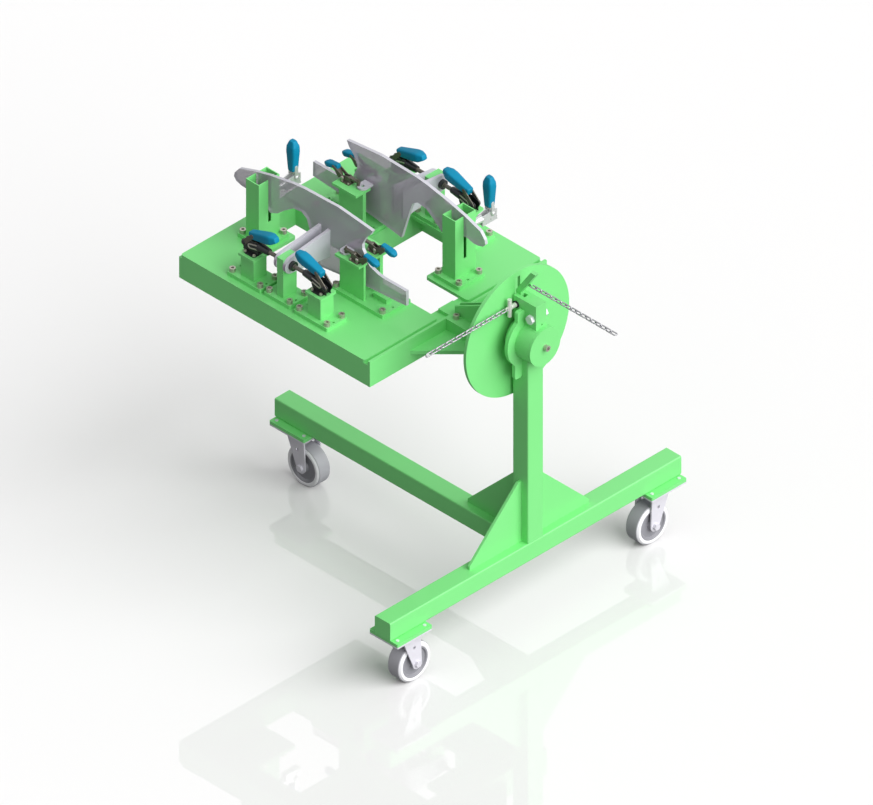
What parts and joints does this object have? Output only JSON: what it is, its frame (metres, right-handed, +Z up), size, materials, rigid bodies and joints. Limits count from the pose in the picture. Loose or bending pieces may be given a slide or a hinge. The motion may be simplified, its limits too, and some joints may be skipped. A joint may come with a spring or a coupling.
{
  "type": "welding fixture",
  "caption": "Turn-over welding fixture: a clamp table on a level spindle, locked by an index disc and pawl, on a wheeled T-shaped stand",
  "frame": {"origin": "centre of the overall box at floor level, table level and every clamp closed", "axes": "+X along the spindle from the table to the operator's end, +Y along the cross beam, +Z up"},
  "size_m": [1.3534, 1.128, 1.138],
  "materials": {
    "green_paint": "satin powder coat",
    "dark_metal": "satin",
    "grey_steel": "zinc plated",
    "bare_steel": "ground",
    "bronze_metal": "satin",
    "aluminium": "machined",
    "work_grey": "sheet",
    "grip_blue": "moulded",
    "tyre_grey": "matt"
  },
  "bodies": {
    "stand": {"cross_beam": "green_paint", "spine_beam": "green_paint", "post": "green_paint", "post_gussets": "green_paint", "caster_pads": "green_paint", "caster_plates": "grey_steel", "frame_bolts": "grey_steel", "bearing_housing": "green_paint", "spindle_bearings": "bare_steel", "housing_strap": "green_paint", "head_block": "green_paint", "plunger_bush": "dark_metal"},
    "table": {"table_frame": "green_paint", "table_plates": "green_paint", "carrier": "green_paint", "index_disc": "green_paint", "spindle": "bare_steel", "end_cap": "green_paint", "slotted_posts": "green_paint", "pedestals": "green_paint", "stop_blocks": "green_paint", "side_columns": "green_paint", "cap_screws": "grey_steel", "clamp_screws": "grey_steel", "push_clamp_frames": "dark_metal", "side_clamp_frames": "aluminium", "hold_down_frames": "bronze_metal", "work_piece_front": "work_grey", "work_piece_rear": "work_grey"},
    "pawl": {"index_pawl": "green_paint", "pull_chain": "grey_steel"},
    "release": {"release_pin": "grey_steel", "release_chain": "grey_steel"},
    "fork_front": {"caster_fork_front": "grey_steel"},
    "wheel_front": {"wheel_front": "tyre_grey"},
    "fork_rear": {"caster_fork_rear": "grey_steel"},
    "wheel_rear": {"wheel_rear": "tyre_grey"},
    "fork_spine": {"caster_fork_spine": "grey_steel"},
    "wheel_spine": {"wheel_spine": "tyre_grey"},
    "handle_push_front_outer": {"push_handle_front_outer": "grip_blue"},
    "rod_push_front_outer": {"push_rod_front_outer": "bare_steel"},
    "handle_push_front_inner": {"push_handle_front_inner": "grip_blue"},
    "rod_push_front_inner": {"push_rod_front_inner": "bare_steel"},
    "handle_side_front": {"side_handle_front": "grip_blue"},
    "rod_side_front": {"side_rod_front": "bare_steel"},
    "handle_hold_front_outer": {"hold_handle_front_outer": "grip_blue"},
    "arm_hold_front_outer": {"hold_arm_front_outer": "bronze_metal"},
    "handle_hold_front_inner": {"hold_handle_front_inner": "grip_blue"},
    "arm_hold_front_inner": {"hold_arm_front_inner": "bronze_metal"},
    "handle_push_rear_outer": {"push_handle_rear_outer": "grip_blue"},
    "rod_push_rear_outer": {"push_rod_rear_outer": "bare_steel"},
    "handle_push_rear_inner": {"push_handle_rear_inner": "grip_blue"},
    "rod_push_rear_inner": {"push_rod_rear_inner": "bare_steel"},
    "handle_side_rear": {"side_handle_rear": "grip_blue"},
    "rod_side_rear": {"side_rod_rear": "bare_steel"},
    "handle_hold_rear_outer": {"hold_handle_rear_outer": "grip_blue"},
    "arm_hold_rear_outer": {"hold_arm_rear_outer": "bronze_metal"},
    "handle_hold_rear_inner": {"hold_handle_rear_inner": "grip_blue"},
    "arm_hold_rear_inner": {"hold_arm_rear_inner": "bronze_metal"}
  },
  "joints": [
    {"name": "table_tilt", "type": "hinge", "parent": "stand", "child": "table", "pos_m": [0.3323, 0, 0.91], "axis": [1, 0, 0], "continuous": true},
    {"name": "pawl_hinge", "type": "hinge", "parent": "stand", "child": "pawl", "pos_m": [0.3653, 0, 0.997], "axis": [0, 1, 0], "range_deg": [0, 15]},
    {"name": "release_slide", "type": "slide", "parent": "stand", "child": "release", "axis": [0, -1, 0], "range_m": [0, 0.012]},
    {"name": "swivel_front", "type": "hinge", "parent": "stand", "child": "fork_front", "pos_m": [0.3323, -0.493, 0.16], "axis": [0, 0, 1], "continuous": true},
    {"name": "roll_front", "type": "hinge", "parent": "fork_front", "child": "wheel_front", "pos_m": [0.3323, -0.461, 0.0625], "axis": [1, 0, 0], "continuous": true},
    {"name": "swivel_rear", "type": "hinge", "parent": "stand", "child": "fork_rear", "pos_m": [0.3323, 0.493, 0.16], "axis": [0, 0, 1], "continuous": true},
    {"name": "roll_rear", "type": "hinge", "parent": "fork_rear", "child": "wheel_rear", "pos_m": [0.3323, 0.461, 0.0625], "axis": [1, 0, 0], "continuous": true},
    {"name": "swivel_spine", "type": "hinge", "parent": "stand", "child": "fork_spine", "pos_m": [-0.5487, 0, 0.16], "axis": [0, 0, 1], "continuous": true},
    {"name": "roll_spine", "type": "hinge", "parent": "fork_spine", "child": "wheel_spine", "pos_m": [-0.5167, 0, 0.0625], "axis": [0, 1, 0], "continuous": true},
    {"name": "handle_push_front_outer", "type": "hinge", "parent": "table", "child": "handle_push_front_outer", "pos_m": [-0.4757, -0.282, 0.972], "axis": [0, -1, 0], "range_deg": [0, 90]},
    {"name": "rod_push_front_outer", "type": "slide", "parent": "table", "child": "rod_push_front_outer", "axis": [-1, 0, 0], "range_m": [0, 0.018]},
    {"name": "handle_push_front_inner", "type": "hinge", "parent": "table", "child": "handle_push_front_inner", "pos_m": [-0.1627, -0.282, 0.972], "axis": [0, 1, 0], "range_deg": [0, 90]},
    {"name": "rod_push_front_inner", "type": "slide", "parent": "table", "child": "rod_push_front_inner", "axis": [1, 0, 0], "range_m": [0, 0.018]},
    {"name": "handle_side_front", "type": "hinge", "parent": "table", "child": "handle_side_front", "pos_m": [-0.5657, -0.01, 1.008], "axis": [-1, 0, 0], "range_deg": [0, 90]},
    {"name": "rod_side_front", "type": "slide", "parent": "table", "child": "rod_side_front", "axis": [0, 1, 0], "range_m": [0, 0.018]},
    {"name": "handle_hold_front_outer", "type": "hinge", "parent": "table", "child": "handle_hold_front_outer", "pos_m": [-0.1627, -0.158, 1.005], "axis": [0, -1, 0], "range_deg": [0, 75]},
    {"name": "arm_hold_front_outer", "type": "hinge", "parent": "table", "child": "arm_hold_front_outer", "pos_m": [-0.1827, -0.158, 1.01], "axis": [0, 1, 0], "range_deg": [0, 60]},
    {"name": "handle_hold_front_inner", "type": "hinge", "parent": "table", "child": "handle_hold_front_inner", "pos_m": [-0.1627, -0.09, 1.005], "axis": [0, -1, 0], "range_deg": [0, 75]},
    {"name": "arm_hold_front_inner", "type": "hinge", "parent": "table", "child": "arm_hold_front_inner", "pos_m": [-0.1827, -0.09, 1.01], "axis": [0, 1, 0], "range_deg": [0, 60]},
    {"name": "handle_push_rear_outer", "type": "hinge", "parent": "table", "child": "handle_push_rear_outer", "pos_m": [-0.1547, 0.282, 0.972], "axis": [0, 1, 0], "range_deg": [0, 90]},
    {"name": "rod_push_rear_outer", "type": "slide", "parent": "table", "child": "rod_push_rear_outer", "axis": [1, 0, 0], "range_m": [0, 0.018]},
    {"name": "handle_push_rear_inner", "type": "hinge", "parent": "table", "child": "handle_push_rear_inner", "pos_m": [-0.4677, 0.282, 0.972], "axis": [0, -1, 0], "range_deg": [0, 90]},
    {"name": "rod_push_rear_inner", "type": "slide", "parent": "table", "child": "rod_push_rear_inner", "axis": [-1, 0, 0], "range_m": [0, 0.018]},
    {"name": "handle_side_rear", "type": "hinge", "parent": "table", "child": "handle_side_rear", "pos_m": [-0.0647, 0.25, 1.008], "axis": [-1, 0, 0], "range_deg": [0, 90]},
    {"name": "rod_side_rear", "type": "slide", "parent": "table", "child": "rod_side_rear", "axis": [0, 1, 0], "range_m": [0, 0.018]},
    {"name": "handle_hold_rear_outer", "type": "hinge", "parent": "table", "child": "handle_hold_rear_outer", "pos_m": [-0.4677, 0.158, 1.005], "axis": [0, 1, 0], "range_deg": [0, 75]},
    {"name": "arm_hold_rear_outer", "type": "hinge", "parent": "table", "child": "arm_hold_rear_outer", "pos_m": [-0.4477, 0.158, 1.01], "axis": [0, -1, 0], "range_deg": [0, 60]},
    {"name": "handle_hold_rear_inner", "type": "hinge", "parent": "table", "child": "handle_hold_rear_inner", "pos_m": [-0.4677, 0.09, 1.005], "axis": [0, 1, 0], "range_deg": [0, 75]},
    {"name": "arm_hold_rear_inner", "type": "hinge", "parent": "table", "child": "arm_hold_rear_inner", "pos_m": [-0.4477, 0.09, 1.01], "axis": [0, -1, 0], "range_deg": [0, 60]}
  ],
  "couplings": [
    {"joint": "rod_push_front_outer", "follows": "handle_push_front_outer", "m_per_rad": 0.01145},
    {"joint": "rod_push_front_inner", "follows": "handle_push_front_inner", "m_per_rad": 0.01145},
    {"joint": "rod_side_front", "follows": "handle_side_front", "m_per_rad": 0.01145},
    {"joint": "arm_hold_front_outer", "follows": "handle_hold_front_outer", "ratio": 0.8},
    {"joint": "arm_hold_front_inner", "follows": "handle_hold_front_inner", "ratio": 0.8},
    {"joint": "rod_push_rear_outer", "follows": "handle_push_rear_outer", "m_per_rad": 0.01145},
    {"joint": "rod_push_rear_inner", "follows": "handle_push_rear_inner", "m_per_rad": 0.01145},
    {"joint": "rod_side_rear", "follows": "handle_side_rear", "m_per_rad": 0.01145},
    {"joint": "arm_hold_rear_outer", "follows": "handle_hold_rear_outer", "ratio": 0.8},
    {"joint": "arm_hold_rear_inner", "follows": "handle_hold_rear_inner", "ratio": 0.8}
  ]
}
